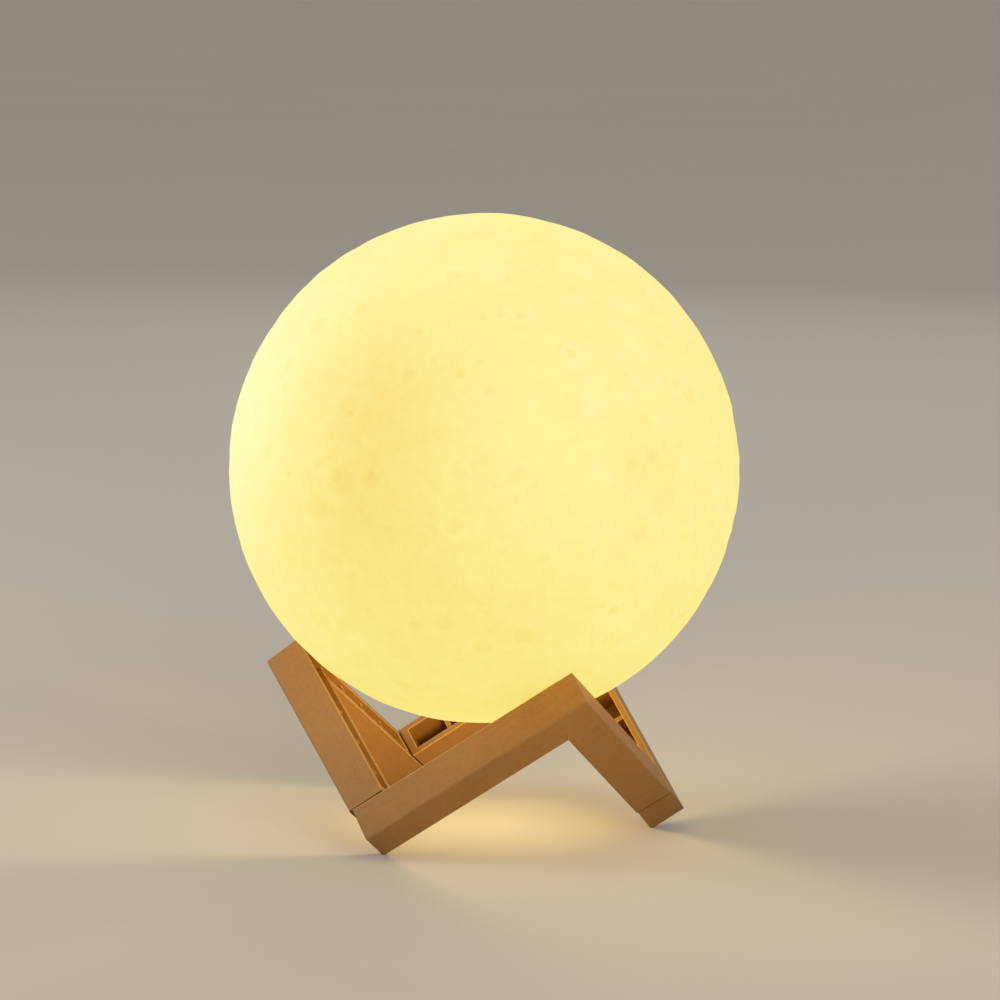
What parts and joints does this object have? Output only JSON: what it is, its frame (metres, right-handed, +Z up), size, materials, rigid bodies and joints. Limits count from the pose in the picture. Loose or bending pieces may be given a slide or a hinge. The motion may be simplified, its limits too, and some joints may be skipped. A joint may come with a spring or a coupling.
{
  "type": "moon lamp",
  "caption": "Round table lamp: a hollow printed moon with a battery lamp module in its neck, resting on a stand of L-shaped legs.",
  "frame": {"origin": "on the moon's vertical axis, at the level of the surface that the three feet stand on", "axes": "+Z up along the moon's axis, -Y towards the front leg's raised corner"},
  "size_m": [0.15, 0.15, 0.1816],
  "materials": {
    "leg_plastic": "moulded, matt, with a fine wood grain",
    "moon_print": "translucent printed layers, matt, lit from inside",
    "white_plastic": "satin moulded",
    "touch_metal": "finely brushed",
    "board_green": "solder mask",
    "chip_black": "moulded packages",
    "contact_brass": "plated",
    "clear_plastic": "clear",
    "signal_amber": "small light",
    "socket_metal": "stamped sheet",
    "tongue_black": "moulded",
    "cell_foil": "foil pouch",
    "foam": "foam",
    "light_board_metal": "white coated",
    "light_yellow": "phosphor",
    "screw_steel": "zinc plated",
    "lead_red": "insulated wire"
  },
  "bodies": {
    "stand": {"stand_leg_front": "leg_plastic", "stand_leg_right": "leg_plastic", "stand_leg_left": "leg_plastic"},
    "globe": {"moon_shell": "moon_print", "base_housing": "white_plastic", "base_cover": "white_plastic", "control_board": "board_green", "control_chips": "chip_black", "touch_plate": "touch_metal", "touch_contact": "contact_brass", "light_pipe": "clear_plastic", "charge_light": "signal_amber", "socket_shell": "socket_metal", "socket_tongue": "tongue_black", "battery_cell": "cell_foil", "battery_pad": "foam", "light_board": "light_board_metal", "light_chips": "light_yellow", "cover_screws": "screw_steel", "board_screws": "screw_steel", "light_board_screws": "screw_steel", "battery_leads": "lead_red", "light_leads": "lead_red"}
  },
  "joints": [
    {"name": "globe_lift", "type": "slide", "parent": "stand", "child": "globe", "axis": [0, 0, 1], "range_m": [0, 0.06]}
  ]
}
